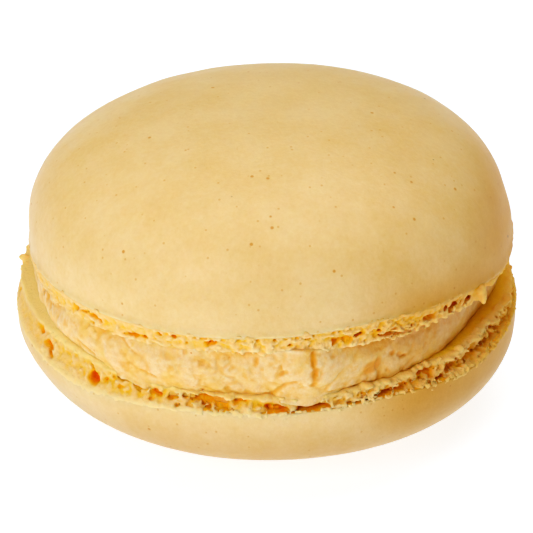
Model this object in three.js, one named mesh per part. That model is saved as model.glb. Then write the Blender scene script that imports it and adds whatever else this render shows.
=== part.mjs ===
// A lemon macaron: two domed almond meringue shells, each baked with a crumbly foot, round a layer of cream.
// Millimetres, +Z up. The lower shell lies dome down on a flat spot, and the origin is there, at the middle.
// Azimuths are measured from the front, which is -Y, and grow towards the right, which is +X.

import * as THREE from "three";
import { ImprovedNoise } from "three/addons/math/ImprovedNoise.js";

// A shell is a skin over a foot. The skin is a superellipse dome with a short straight side, and its thin
// edge stands out over the foot. Lobes are stretches of the round that differ: at an azimuth, for a width in
// degrees, by so much at their middle. Edge lobes reach over the foot, and side lobes stand out sideways.
const LOWER = {
  turnedOver: true,
  skin: { radius: 23.0, edgeRadius: 23.0, sideHeight: 0.3, domeHeight: 9.1, roundness: 2.6, flatSpot: 5.0 },
  sideLobes: [
    { azimuth: -60, width: 30, out: 0.15 },
    { azimuth: 88, width: 22, out: -0.3 },
  ],
  edgeLobes: [
    { azimuth: -42, width: 20, out: -0.55 },
    { azimuth: 25, width: 16, out: 0.35 },
    { azimuth: 70, width: 12, out: 0.5 },
    { azimuth: 135, width: 18, out: -0.4 },
    { azimuth: 188, width: 20, out: 0.3 },
    { azimuth: 240, width: 16, out: -0.3 },
  ],
  foot: { radius: 22.2, height: 2.0, noiseSeed: 11 },
};
const UPPER = {
  turnedOver: false,
  skin: { radius: 21.95, edgeRadius: 22.05, sideHeight: 0.9, domeHeight: 11.8, roundness: 2.4, flatSpot: 0 },
  sideLobes: [{ azimuth: -88, width: 22, out: -0.1 }],
  edgeLobes: [
    { azimuth: -20, width: 28, out: 0.2 },
    { azimuth: 22, width: 14, out: -0.3 },
    { azimuth: 72, width: 15, out: 1.0 },
    { azimuth: 150, width: 20, out: 0.3 },
    { azimuth: 215, width: 24, out: -0.3 },
  ],
  foot: { radius: 21.3, height: 2.0, noiseSeed: 47 },
};

// How the upper shell sits: its skin's edge above the lower one's, its shift, and its tilt in degrees, which
// opens the front and the right.
const EDGE_SPACING = 6.9;
const UPPER_SHIFT = { right: 0.15, front: 1.2 };
const FRONT_OPENS = 3.7;
const RIGHT_OPENS = 1.4;

// The thin edge of a skin is rounded by this much, and the outer corner of a foot's base by that much.
const SKIN_LIP = 0.25;
const FOOT_CORNER = 0.5;

// The foot's crumbs, and the holes in it. A hole's height is measured from the edge of its shell's skin.
const CRUMBS = [
  { size: 2.3, relief: 0.55 },
  { size: 1.3, relief: 0.35 },
];
const HOLE_REACH = 0.8;
const LOWER_HOLES = [
  { azimuth: -67, width: 1.0, height: 0.9, depth: 1.0 },
  { azimuth: -58, width: 1.3, height: 0.9, depth: 1.2 },
  { azimuth: -41, width: 1.2, height: 0.9, depth: 1.6 },
  { azimuth: -12, width: 3.2, height: 1.1, depth: 1.8 },
  { azimuth: 3, width: 1.6, height: 0.8, depth: 1.9 },
  { azimuth: 14, width: 3.0, height: 1.0, depth: 2.0 },
  { azimuth: 30, width: 1.8, height: 1.0, depth: 1.5 },
  { azimuth: 58, width: 1.6, height: 1.1, depth: 1.3 },
];
const UPPER_HOLES = [
  { azimuth: -49, width: 1.3, height: 0.6, depth: 1.0 },
  { azimuth: -33, width: 1.6, height: 1.1, depth: 0.9 },
  { azimuth: -13, width: 1.0, height: 0.6, depth: 0.8 },
  { azimuth: 18, width: 1.8, height: 1.0, depth: 1.2 },
  { azimuth: 26, width: 1.2, height: 1.1, depth: 1.2 },
  { azimuth: 49, width: 2.0, height: 0.6, depth: 1.2 },
];

// Out of the photographed side the holes are spread evenly, and each differs from these by a share of them.
const HOLES_ELSEWHERE = { from: 84, to: 276, count: 13, width: 1.5, height: 1.0, depth: 1.2, share: 0.5 };
const LOWER_SPREAD_SEED = 3;
const UPPER_SPREAD_SEED = 29;

// The cream: its radius, how much wider it is at its lower edge, and where it bulges out or lies back.
const CREAM = { radius: 20.9, spread: 0.9, bulge: 0.5, corner: 0.5, noiseSeed: 83 };
const CREAM_LOBES = [
  { azimuth: -66, width: 20, out: 0.3 },
  { azimuth: -27, width: 19, out: 1.1 },
  { azimuth: 8, width: 9, out: 1.3 },
  { azimuth: 27, width: 12, out: 0.4 },
  { azimuth: 66, width: 19, out: -1.2 },
  { azimuth: 128, width: 24, out: 0.5 },
  { azimuth: 187, width: 22, out: -0.4 },
  { azimuth: 236, width: 20, out: 0.6 },
];
const CREAM_CRACK = { azimuth: 9.5, width: 0.8, depth: 0.9 };
const CREAM_LUMPS = [
  { size: 4.5, relief: 0.5 },
  { size: 1.8, relief: 0.3 },
];

// Faces that touch keep this much between them.
const CONTACT_GAP = 0.3;

// How finely the shapes are divided, and how far in from an uneven edge a flat face is round.
const AROUND = 120;
const DOME_STEPS = 12;
const FOOT_STEPS = 5;
const CREAM_STEPS = 6;
const BORDER = 3.0;

const COLOURS = { skin: 0xe9cc8a, cream: 0xf4dda4 };
const ROUGHNESS = { skin: 0.6, cream: 0.5 };

const radians = THREE.MathUtils.degToRad;
const noise = new ImprovedNoise();

// Fades from 1 in the middle to 0, as a bell, over a distance of about twice the width.
const bell = (distance, width) => Math.exp(-((distance / width) ** 2));

// The smaller angle between two azimuths, in radians.
const between = (a, b) => Math.abs(Math.atan2(Math.sin(a - b), Math.cos(a - b)));

// What a list of lobes adds up to at an azimuth.
function lobed(lobes, azimuth) {
  return lobes.reduce(
    (sum, lobe) => sum + lobe.out * bell(between(azimuth, radians(lobe.azimuth)), radians(lobe.width)),
    0,
  );
}

// Sums layers of noise at a point on the ring. It closes on itself, because it is read in space.
function relief(layers, seed, azimuth, radius, height) {
  const x = radius * Math.sin(azimuth);
  const y = -radius * Math.cos(azimuth);
  const read = (size) => noise.noise(x / size + seed, y / size, height / size);
  return layers.reduce((sum, layer) => sum + layer.relief * read(layer.size), 0);
}

// Turns a profile of [radius, height] pairs into a solid, then moves each vertex to where shape() puts it.
function turned(profile, shape) {
  const points = profile.map(([radius, height]) => new THREE.Vector2(radius, height));
  const geometry = new THREE.LatheGeometry(points, AROUND);
  geometry.rotateX(Math.PI / 2);
  const place = geometry.getAttribute("position");
  for (let i = 0; i < place.count; i++) {
    const radius = Math.hypot(place.getX(i), place.getY(i));
    const azimuth = radius > 0 ? Math.atan2(place.getX(i), -place.getY(i)) : 0;
    const [newRadius, newHeight] = shape(azimuth, radius, place.getZ(i));
    place.setXYZ(i, newRadius * Math.sin(azimuth), -newRadius * Math.cos(azimuth), newHeight);
  }
  geometry.computeVertexNormals();
  return geometry;
}

// The holes out of the photographed side, which vary by a fixed rule.
function holesElsewhere(seed) {
  const { from, to, count, width, height, depth, share } = HOLES_ELSEWHERE;
  return Array.from({ length: count }, (_, i) => {
    const vary = (row) => 1 + share * noise.noise(seed, i + 0.5, row + 0.5);
    return {
      azimuth: from + ((to - from) * (i + 0.5 * vary(0))) / count,
      width: width * vary(1),
      height: height * vary(2),
      depth: depth * vary(3),
    };
  });
}

// A shell's profile in its own frame, dome up: the flat base, the foot's wall, the skin's edge and the dome.
function shellProfile({ skin, foot }) {
  const power = 2 / skin.roundness;
  const steepest = Math.acos((skin.flatSpot / skin.radius) ** (1 / power));
  const domeAt = (angle) => skin.sideHeight + skin.domeHeight * Math.sin(angle) ** power;
  const profile = [[0, -foot.height], [foot.radius - BORDER, -foot.height]];
  for (let i = 0; i <= FOOT_STEPS; i++) {
    const share = i / FOOT_STEPS;
    profile.push([foot.radius - FOOT_CORNER * (1 - share) ** 4, -foot.height * (1 - share)]);
  }
  profile.push([skin.edgeRadius - SKIN_LIP, 0], [skin.edgeRadius, SKIN_LIP]);
  for (let i = 0; i < DOME_STEPS; i++) {
    const angle = (steepest * i) / DOME_STEPS;
    profile.push([skin.radius * Math.cos(angle) ** power, domeAt(angle)]);
  }
  if (skin.flatSpot > 0) profile.push([skin.flatSpot, domeAt(steepest)]);
  profile.push([0, domeAt(steepest)]);
  return profile;
}

// A shell in its own frame, with the skin's edge at height 0. Turned over, its left and right change places.
function shellGeometry(shell, holes) {
  const { skin, foot } = shell;
  return turned(shellProfile(shell), (ownAzimuth, radius, height) => {
    const azimuth = shell.turnedOver ? -ownAzimuth : ownAzimuth;
    const nearEdge = Math.max(0, 1 - Math.abs(height) / foot.height);
    const newHeight = height - nearEdge * lobed(shell.edgeLobes, azimuth);
    const side = lobed(shell.sideLobes, azimuth) * (radius / skin.radius) ** 4;
    const onWall = radius > foot.radius - BORDER / 2 && radius < skin.edgeRadius - 2 * SKIN_LIP;
    if (height > 0 || !onWall) return [radius + side, newHeight];

    const dents = holes.map((hole) => {
      const along = radius * between(azimuth, radians(hole.azimuth));
      return hole.depth * bell(along, hole.width) * bell(height + hole.height, HOLE_REACH);
    });
    const crumbs = relief(CRUMBS, foot.noiseSeed, azimuth, radius, height);
    return [radius + side + crumbs - Math.max(...dents), newHeight];
  });
}

// The cream fills the space between two planes. Heights in its profile run from 0, the lower, to 1, the other.
function creamGeometry(lowerHeight, upperHeightAt) {
  const inner = CREAM.radius - BORDER;
  const profile = [[0, 0], [inner, 0]];
  for (let i = 0; i <= CREAM_STEPS; i++) profile.push([CREAM.radius, i / CREAM_STEPS]);
  profile.push([inner, 1], [0, 1]);

  return turned(profile, (azimuth, radius, share) => {
    let newRadius = radius;
    if (radius > inner + BORDER / 2) {
      const swell = CREAM.bulge * Math.sin(Math.PI * share) + CREAM.spread * (0.5 - share);
      const corner = CREAM.corner * Math.abs(2 * share - 1) ** 6;
      const fromCrack = radius * between(azimuth, radians(CREAM_CRACK.azimuth));
      const crack = CREAM_CRACK.depth * bell(fromCrack, CREAM_CRACK.width) * Math.sin(Math.PI * share);
      const lumps = relief(CREAM_LUMPS, CREAM.noiseSeed, azimuth, radius, share * EDGE_SPACING);
      newRadius += lobed(CREAM_LOBES, azimuth) + swell + lumps - corner - crack;
    }
    const x = newRadius * Math.sin(azimuth);
    const y = -newRadius * Math.cos(azimuth);
    return [newRadius, THREE.MathUtils.lerp(lowerHeight, upperHeightAt(x, y), share)];
  });
}

function named(name, geometry, colour, roughness) {
  const material = new THREE.MeshStandardMaterial({ color: colour, roughness, metalness: 0 });
  const mesh = new THREE.Mesh(geometry, material);
  mesh.name = name;
  return mesh;
}

function shellMesh(name, shell, holes) {
  return named(name, shellGeometry(shell, holes), COLOURS.skin, ROUGHNESS.skin);
}

// The lower shell stands on the flat spot of its dome.
const lowerShell = shellMesh("bottom_shell", LOWER, [...LOWER_HOLES, ...holesElsewhere(LOWER_SPREAD_SEED)]);
const lowerEdge = Math.max(...shellProfile(LOWER).map(([, height]) => height));
lowerShell.rotation.y = Math.PI;
lowerShell.position.z = lowerEdge;

// The upper shell leans back on the cream.
const upperShell = shellMesh("top_shell", UPPER, [...UPPER_HOLES, ...holesElsewhere(UPPER_SPREAD_SEED)]);
upperShell.position.set(UPPER_SHIFT.right, -UPPER_SHIFT.front, lowerEdge + EDGE_SPACING);
upperShell.rotation.set(radians(-FRONT_OPENS), radians(-RIGHT_OPENS), 0);
upperShell.updateMatrixWorld(true);

// The cream lies on the lower shell's flat base, and its upper face follows the upper shell's.
const ownBase = new THREE.Plane(new THREE.Vector3(0, 0, 1), UPPER.foot.height);
const { normal, constant } = ownBase.applyMatrix4(upperShell.matrixWorld);
const creamTop = (x, y) => -(normal.x * x + normal.y * y + constant) / normal.z - CONTACT_GAP;
const creamBottom = lowerEdge + LOWER.foot.height + CONTACT_GAP;
const cream = named("filling", creamGeometry(creamBottom, creamTop), COLOURS.cream, ROUGHNESS.cream);

const macaron = new THREE.Group();
macaron.add(lowerShell, cream, upperShell);

// The whole is centred on its resting spot.
const box = new THREE.Box3().setFromObject(macaron, true);
const middle = box.getCenter(new THREE.Vector3());
macaron.position.set(-middle.x, -middle.y, -box.min.z);

export default macaron;
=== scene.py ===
"""The looks of a lemon macaron: two almond meringue shells with crumbly feet, round a layer of torn cream.

Lengths are in millimetres until a mesh is made, and angles in degrees until they are used.
Azimuths start at the front, which is -Y, and grow towards the right, which is +X.
Heights in a shell are from the edge of its skin, and grow towards its dome. The foot is below 0.
"""

import math

import bpy
import numpy as np
from mathutils import Matrix, Vector


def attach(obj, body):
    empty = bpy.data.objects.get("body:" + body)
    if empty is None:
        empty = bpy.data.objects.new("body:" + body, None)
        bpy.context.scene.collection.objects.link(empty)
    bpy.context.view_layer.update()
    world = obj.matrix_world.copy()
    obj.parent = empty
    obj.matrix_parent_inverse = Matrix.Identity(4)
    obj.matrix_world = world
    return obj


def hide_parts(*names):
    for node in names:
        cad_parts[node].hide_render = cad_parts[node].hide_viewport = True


MM = 0.001

# The two shells. Their main sizes are those of the solids. Lobes are (azimuth, width, size at the middle),
# and tabs are (azimuth, depth below the skin's edge, size).
LOWER = {
    "turned_over": True,
    "crust": 0.8,
    "radius": 23.0,
    "edge_radius": 23.0,
    "side": 0.3,
    "dome": 9.1,
    "roundness": 2.6,
    "flat_spot": 5.0,
    "side_lobes": [(-60, 30, 0.15), (88, 22, -0.3)],
    "edge_lobes": [
        (-46, 17, -0.5), (-8, 28, 0.6), (28, 18, 0.75), (70, 12, 0.5),
        (135, 18, -0.4), (188, 20, 0.3), (240, 16, -0.3),
    ],
    "foot_radius": 22.2,
    "foot_height": 2.0,
    "lip": 0.08,
    "flare": 0.75,
    "rim_lobes": [(-101, 17, 0.7), (40, 5, -0.5), (48, 5, 0.2), (62, 11, -0.6)],
    "belly_lobes": [(-75, 35, -0.45)],
    "front_sinks": 0.03,
    "base_lobes": [],
    "uneven": 0.4,
    "torn": 0.0,
    "seam_lobes": [],
    "fillet_lobes": [(-72, 28, 1.0)],
    "lively_lobes": [(-80, 32, -0.6), (0, 50, 0.5), (60, 30, 0.3), (160, 40, 0.6)],
    "tabs": [],
    "open_lobes": [(58, 22, 1.0), (8, 18, 0.2), (26, 14, 0.5), (150, 30, 0.6), (230, 24, 0.5)],
    "golden_lobes": [
        (-30, 16, 0.8), (0, 18, 0.8), (30, 14, 0.7), (62, 20, 0.5), (140, 30, 0.6), (220, 30, 0.6),
    ],
}
UPPER = {
    "turned_over": False,
    "crust": 0.0,
    "radius": 21.95,
    "edge_radius": 22.05,
    "side": 0.9,
    "dome": 11.8,
    "roundness": 2.4,
    "flat_spot": 0.0,
    "side_lobes": [(-88, 22, -0.1)],
    "edge_lobes": [(-20, 28, 0.2), (22, 14, -0.3), (72, 15, 1.0), (150, 20, 0.3), (215, 24, -0.3)],
    "foot_radius": 21.3,
    "foot_height": 2.0,
    "lip": 0.28,
    "flare": 0.6,
    "rim_lobes": [],
    "belly_lobes": [(80, 40, -0.4), (-80, 40, 0.15)],
    "front_sinks": 0.0,
    "base_lobes": [(40, 22, 0.35), (-6, 16, 0.35)],
    "uneven": 1.0,
    "torn": 1.0,
    "seam_lobes": [(-2, 24, 1.0)],
    "fillet_lobes": [],
    "lively_lobes": [(-60, 25, 0.3), (0, 25, 0.4), (42, 25, 1.0), (160, 40, 0.6)],
    "tabs": [(57.2, 0.2, 0.55), (58.0, 0.7, 0.5), (58.6, 1.2, 0.38), (59.0, 1.6, 0.24)],
    "open_lobes": [(215, 26, 0.6)],
    "golden_lobes": [
        (-48, 20, 0.5), (-12, 8, 0.4), (17, 6, 0.5), (42, 20, 0.7), (140, 30, 0.6), (215, 30, 0.6),
    ],
}
CREAM_RADIUS = 20.9

# How the upper shell lies on the lower one. The spacing is between the edges of the two skins.
EDGE_SPACING = 6.9
UPPER_SHIFT = (0.15, -1.2)
FRONT_OPENS = 3.7
RIGHT_OPENS = 1.4

LOWER_SEED = 11
UPPER_SEED = 47
CREAM_SEED = 83

# Steps of the grids in which the feet and the cream are worked out.
FOOT_STEP = 0.138
CREAM_STEP = 0.13


# Curves and noise

NOISE_GAIN = 1.6


def bell(distance, width):
    return np.exp(-((distance / width) ** 2))


def rise(low, high, value):
    """Rises smoothly from 0 at low to 1 at high."""
    t = np.clip((value - low) / (high - low), 0, 1)
    return t * t * (3 - 2 * t)


def between(azimuth, other):
    """The signed angle from one azimuth to another, in degrees."""
    return (np.asarray(azimuth) - other + 180) % 360 - 180


def lobed(lobes, azimuth):
    """The sum of the lobes at an azimuth."""
    return sum(out * bell(between(azimuth, middle), width) for middle, width, out in lobes)


def noise(x, y, z, size, seed):
    """Gradient noise at points given by three arrays, about -1 to 1, with features of the given size."""
    rng = np.random.default_rng(seed)
    order = rng.permutation(256)
    gradients = rng.normal(size=(256, 3))
    gradients /= np.linalg.norm(gradients, axis=1, keepdims=True)
    shift = rng.uniform(0, 64, 3)
    cells = []
    parts = []
    for values, offset in zip((x, y, z), shift):
        scaled = np.asarray(values, np.float32) / size + np.float32(offset)
        cell = np.floor(scaled)
        cells.append(cell.astype(np.int32))
        parts.append(scaled - cell)
    fades = [p * p * p * (p * (p * 6 - 15) + 10) for p in parts]
    total = 0
    for corner in range(8):
        steps = [(corner >> axis) & 1 for axis in range(3)]
        index = order[(cells[0] + steps[0]) & 255]
        index = order[(index + cells[1] + steps[1]) & 255]
        index = order[(index + cells[2] + steps[2]) & 255]
        gradient = gradients[index].astype(np.float32)
        dot = sum(gradient[..., axis] * (parts[axis] - steps[axis]) for axis in range(3))
        weight = 1
        for axis in range(3):
            weight = weight * (fades[axis] if steps[axis] else 1 - fades[axis])
        total = total + weight * dot
    return total * NOISE_GAIN


# A ring worked out on a grid

CELL_CORNERS = [(i, j, k) for i in (0, 1) for j in (0, 1) for k in (0, 1)]
FULLNESS_REACHES = (0.26, 0.52, 0.95)

# A groove changes the grid this far beside its line, and this far behind its floor.
GROOVE_MARGIN = 0.7
GROOVE_BACK = 0.5

# A radius outside every grid
BEYOND = 99

# How far lumps may stand out of a wall where a groove is cut.
LUMP_ROOM = 0.5

# The grid is a little coarser along the ring than across it.
AROUND_STRETCH = 1.15


class Ring:
    """A field over a grid of azimuth, radius and height, above 0 where there is matter."""

    def __init__(self, radii, heights, step):
        middle = (radii[0] + radii[1]) / 2
        self.around = int(round(2 * math.pi * middle / (step * AROUND_STRETCH)))
        self.turn = 360 / self.around
        self.step = step
        self.low = np.array([radii[0], heights[0]])
        self.azimuth = (np.arange(self.around) * self.turn)[:, None, None].astype(np.float32)
        self.radius = np.arange(radii[0], radii[1], step)[None, :, None].astype(np.float32)
        self.height = np.arange(heights[0], heights[1], step)[None, None, :].astype(np.float32)
        self.shape = (self.around, self.radius.size, self.height.size)
        angle = np.radians(self.azimuth)
        self.x = np.broadcast_to(self.radius * np.sin(angle), self.shape)
        self.y = np.broadcast_to(-self.radius * np.cos(angle), self.shape)
        self.z = np.broadcast_to(self.height, self.shape)
        self.field = np.zeros(self.shape, np.float32)
        self.tint = np.zeros(self.shape, np.float32)

    def noise(self, size, seed, flatten=1.0):
        """flatten above 1 draws the features out sideways, as in layers."""
        return noise(self.x, self.y, self.z * flatten, size, seed)

    def part(self, azimuths, radii, heights):
        """The part of the grid within three ranges, as an index and its azimuths, radii and heights."""
        columns = np.arange(math.floor(azimuths[0] / self.turn), math.ceil(azimuths[1] / self.turn) + 1)
        rows = []
        for (low, high), start, count in zip((radii, heights), self.low, self.shape[1:]):
            first = max(int(round((low - start) / self.step)), 0)
            last = min(int(round((high - start) / self.step)) + 1, count)
            rows.append(np.arange(first, last))
        window = np.ix_(columns % self.around, *rows)
        azimuth = (columns * self.turn)[:, None, None]
        return window, azimuth, self.radius[:, rows[0]], self.height[:, :, rows[1]]

    def blob(self, azimuth, radius, height, size, blend=0.08, squash=(1, 1, 1), pale=False):
        """Adds a rounded blob. squash divides its size along, outward and up. A pale one loses its tint."""
        reach = size * max(1 / s for s in squash) + 2 * blend
        turn = math.degrees(reach / radius)
        window, azimuths, radii, heights = self.part(
            (azimuth - turn, azimuth + turn),
            (radius - reach, radius + reach),
            (height - reach, height + reach),
        )
        along = math.radians(1) * radius * (azimuths - azimuth) * squash[0]
        out, up = (radii - radius) * squash[1], (heights - height) * squash[2]
        value = (size - np.sqrt(along**2 + out**2 + up**2)) / max(squash)
        self.field[window] = soft_max(self.field[window], value, blend)
        if pale:
            self.tint[window] *= 1 - 0.8 * rise(-0.15, 0.05, value)

    def near_line(self, wall, start, end, width, depth, ragged_share, seed):
        """The part of the grid near a line on the wall, from one place (azimuth, height) to another.

        It gives the part's index and radii, how far its points are from the line in half widths, and how
        ragged that distance is."""
        reach = width + GROOVE_MARGIN
        turn = math.degrees(reach / wall)
        window, azimuths, radii, heights = self.part(
            (start[0] - turn, end[0] + turn),
            (wall - depth - GROOVE_BACK, BEYOND),
            (min(start[1], end[1]) - reach, max(start[1], end[1]) + reach),
        )
        arc = math.radians(1) * wall
        along, up = (azimuths - start[0]) * arc, heights - start[1]
        way = np.array([(end[0] - start[0]) * arc, end[1] - start[1]])
        share = np.clip((along * way[0] + up * way[1]) / max(way @ way, 1e-9), 0, 1)
        far = np.hypot(along - share * way[0], up - share * way[1])
        places = [values[window] for values in (self.x, self.y, self.z)]
        ragged = ragged_share * (0.3 * noise(*places, 1.1, seed) + 0.3 * noise(*places, 0.5, seed + 1))
        far = np.maximum(far + 1.4 * min(1, width / 0.6) * ragged, 0)
        return window, radii, far / (0.5 * width), ragged

    def groove(self, wall, start, end, width, depth, tint, seed, ragged_share=1.0, steepness=3):
        """Cuts a ragged groove into the wall, also through lumps that stand out of it, and tints it orange
        as painted shade and glow.
        """
        window, radii, far, ragged = self.near_line(wall, start, end, width, depth, ragged_share, seed)
        strength = np.exp(-(far**steepness))
        clear = 2 * (1 - rise(0.0, 0.15, strength))
        inside = radii - (wall + LUMP_ROOM + clear) + (depth + LUMP_ROOM) * strength * (1 + 1.4 * ragged)
        self.field[window] = -soft_max(-self.field[window], inside, 0.06)
        self.tint[window] = np.maximum(self.tint[window], tint * np.exp(-((far / 1.2) ** steepness)))

    def dent(self, wall, start, end, width, depth, tint, seed):
        """Presses the wall in softly along a ragged line, and tints it as painted shade."""
        window, _, far, _ = self.near_line(wall, start, end, width, 1.0, 0.4, seed)
        strength = np.exp(-(far**2))
        self.field[window] -= depth * strength
        self.tint[window] = np.maximum(self.tint[window], tint * rise(0.2, 0.6, strength))

    def fullness(self, other):
        """How much matter there is round each point: 0.5 on a flat face, more in a pit, less on a tip.

        other is 1 where the grid holds matter of another piece."""
        own = np.maximum(np.clip(self.field / self.step + 0.5, 0, 1), other)
        total = 0
        for reach in FULLNESS_REACHES:
            solid = own
            for axis in range(3):
                solid = box_blur(solid, int(round(reach / self.step)), axis, wrap=axis == 0)
            total = total + solid / len(FULLNESS_REACHES)
        return total

    def surface(self):
        """The surface where the field is 0: points (azimuth, radius, height), faces, and places in the grid.

        It has one point in each cell that it passes through."""
        field = self.field.copy()
        field[:, 0] = field[:, -1] = -self.step
        field[:, :, 0] = field[:, :, -1] = -self.step
        inside = field > 0
        count = sum(cell_corner(inside, corner).astype(np.int8) for corner in CELL_CORNERS)
        active = np.argwhere((count > 0) & (count < 8))
        place = np.full(count.shape, -1, np.int64)
        place[tuple(active.T)] = np.arange(len(active))
        values = []
        for i, j, k in CELL_CORNERS:
            at = ((active[:, 0] + i) % self.around, active[:, 1] + j, active[:, 2] + k)
            values.append(field[at])
        total = np.zeros((len(active), 3))
        crossings = np.zeros(len(active))
        for one, start in enumerate(CELL_CORNERS):
            for two, end in enumerate(CELL_CORNERS):
                if two <= one or sum(abs(a - b) for a, b in zip(start, end)) != 1:
                    continue
                crossed = (values[one] > 0) != (values[two] > 0)
                gap = values[one] - values[two]
                share = np.where(crossed, values[one] / np.where(gap == 0, 1, gap), 0)[:, None]
                point = np.array(start) + share * (np.array(end) - np.array(start))
                total += point * crossed[:, None]
                crossings += crossed
        grid = active + total / crossings[:, None]
        faces = np.concatenate([edge_faces(inside, place, axis) for axis in range(3)])
        points = np.empty_like(grid)
        points[:, 0] = grid[:, 0] * self.turn
        points[:, 1:] = self.low + grid[:, 1:] * self.step
        return points, faces, grid

    def read(self, values, grid):
        """Reads grid values at the surface's points."""
        cell = np.floor(grid).astype(int)
        part = grid - cell
        total = 0
        for corner in CELL_CORNERS:
            weight = np.prod(np.where(corner, part, 1 - part), axis=1)
            at = cell + corner
            total = total + weight * values[at[:, 0] % self.around, at[:, 1], at[:, 2]]
        return total


def soft_max(a, b, blend):
    rest = np.maximum(blend - np.abs(a - b), 0) / blend
    return np.maximum(a, b) + rest * rest * blend / 4


def soft_min(a, b, blend):
    return -soft_max(-a, -b, blend)


def box_blur(values, reach, axis, wrap):
    """A moving average along one axis."""
    width = 2 * reach + 1
    moved = np.moveaxis(values, axis, 0)
    mode = "wrap" if wrap else "edge"
    padded = np.pad(moved, [(reach + 1, reach)] + [(0, 0)] * 2, mode=mode)
    running = np.cumsum(padded, axis=0, dtype=np.float64)
    return np.moveaxis(((running[width:] - running[:-width]) / width).astype(np.float32), 0, axis)


def cell_corner(values, corner):
    i, j, k = corner
    rolled = np.roll(values, -1, axis=0) if i else values
    return rolled[:, j:values.shape[1] - 1 + j, k:values.shape[2] - 1 + k]


def edge_faces(inside, place, axis):
    """The faces across the grid's edges along one axis. Each joins the four cells round its edge."""
    around = inside.shape[0]
    if axis == 0:
        first, second = inside[:, 1:-1, 1:-1], np.roll(inside, -1, axis=0)[:, 1:-1, 1:-1]
        offsets = [(0, 0, 0), (0, 1, 0), (0, 1, 1), (0, 0, 1)]
    elif axis == 1:
        first, second = inside[:, :-1, 1:-1], inside[:, 1:, 1:-1]
        offsets = [(-1, 0, 0), (-1, 0, 1), (0, 0, 1), (0, 0, 0)]
    else:
        first, second = inside[:, 1:-1, :-1], inside[:, 1:-1, 1:]
        offsets = [(-1, 0, 0), (0, 0, 0), (0, 1, 0), (-1, 1, 0)]
    at = np.argwhere(first != second)
    outward = first[tuple(at.T)]
    quads = np.empty((len(at), 4), np.int64)
    for column, (i, j, k) in enumerate(offsets):
        quads[:, column] = place[(at[:, 0] + i) % around, at[:, 1] + j, at[:, 2] + k]
    quads[~outward] = quads[~outward][:, ::-1]
    return quads


# Placing and making meshes

def on_axis(points):
    """Turns (azimuth, radius, height) into x, y and z."""
    angle = np.radians(points[:, 0])
    return np.stack([points[:, 1] * np.sin(angle), -points[:, 1] * np.cos(angle), points[:, 2]], axis=1)


def painted_shade_amount(points):
    """How much painted shade darkens the food: most on the right side, less towards its top, a little at the
    far left, and on the underside away from the left.
    """
    right, height = points[:, 0], points[:, 2]
    side = (0.36 + 0.54 * (1 - rise(17.5, 21.5, height))) * rise(5, 14, right)
    side = side * (1 - 0.85 * rise(19, 25, height))
    far_right = 0.85 * rise(15, 21, right) + 0.15 * rise(19, 22.5, right)
    side = np.maximum(side, far_right * (1 - 0.6 * rise(21, 26, height)))
    side = side * (0.42 + 0.58 * rise(3, 10, height))
    side = np.maximum(side, 0.2 * rise(17, 21, -right))
    return np.maximum(side, 0.45 * (1 - rise(4, 10, height)) * rise(-22, -8, right))


def add_object(name, data):
    made = bpy.data.objects.new(name, data)
    bpy.context.scene.collection.objects.link(made)
    return made


def make_piece(name, points, faces, node, material, attributes):
    """A mesh piece that stands for a node, from points in millimetres in the part's frame."""
    mesh = bpy.data.meshes.new(name)
    mesh.vertices.add(len(points))
    mesh.vertices.foreach_set("co", (points * MM).astype(np.float32).ravel())
    sizes = np.array([len(face) for face in faces])
    corners = np.concatenate(faces)
    mesh.loops.add(len(corners))
    mesh.loops.foreach_set("vertex_index", corners.astype(np.int32))
    mesh.polygons.add(len(sizes))
    mesh.polygons.foreach_set("loop_start", np.concatenate([[0], np.cumsum(sizes)[:-1]]).astype(np.int32))
    mesh.update(calc_edges=True)
    mesh.validate()
    for key, values in attributes.items():
        layer = mesh.attributes.new(key, "FLOAT", "POINT")
        layer.data.foreach_set("value", np.asarray(values, np.float32))
    mesh.shade_smooth()
    piece = add_object(name, mesh)
    piece.data.materials.append(material)
    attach(piece, "root")
    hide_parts(node)


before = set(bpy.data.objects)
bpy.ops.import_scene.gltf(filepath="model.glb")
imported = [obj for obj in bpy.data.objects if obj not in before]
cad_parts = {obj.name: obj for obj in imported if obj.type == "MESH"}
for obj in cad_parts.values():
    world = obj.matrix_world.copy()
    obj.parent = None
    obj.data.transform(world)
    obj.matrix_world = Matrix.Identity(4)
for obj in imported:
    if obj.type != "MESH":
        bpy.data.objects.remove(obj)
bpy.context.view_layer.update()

# Points of the lower shell that are lower than this rest on the floor.
RESTING = 0.001


def shell_axis():
    """The foot of the lower shell's axis: the middle of the flat spot that it rests on."""
    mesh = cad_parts["bottom_shell"].data
    places = np.array([v.co for v in mesh.vertices]) / MM
    centre = places[places[:, 2] < RESTING].mean(axis=0)
    return np.array([centre[0], centre[1], 0])


def dome_point(shell, angle):
    """The radius and height of the dome's outline, at an angle from its widest place."""
    power = 2 / shell["roundness"]
    height = shell["side"] + shell["dome"] * math.sin(angle) ** power
    return shell["radius"] * math.cos(angle) ** power, height


def last_angle(shell):
    """The angle at the top of the dome's outline, or where its flat spot begins."""
    power = 2 / shell["roundness"]
    return math.acos((shell["flat_spot"] / shell["radius"]) ** (1 / power))


def dome_height(shell):
    return dome_point(shell, last_angle(shell))[1]


AXIS = shell_axis()
LOWER_EDGE = dome_height(LOWER)


def place_lower(points):
    x, y, height = on_axis(points).T
    return np.stack([x, y, LOWER_EDGE - height], axis=1) + AXIS


def place_upper(points):
    tipped_back = Matrix.Rotation(math.radians(-FRONT_OPENS), 3, "X")
    tipped_left = Matrix.Rotation(math.radians(-RIGHT_OPENS), 3, "Y")
    shift = np.array([UPPER_SHIFT[0], UPPER_SHIFT[1], LOWER_EDGE + EDGE_SPACING])
    return on_axis(points) @ np.array(tipped_back @ tipped_left).T + shift + AXIS


def place_cream(points):
    return on_axis(points) + AXIS + np.array([0, 0, LOWER_EDGE])


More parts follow.
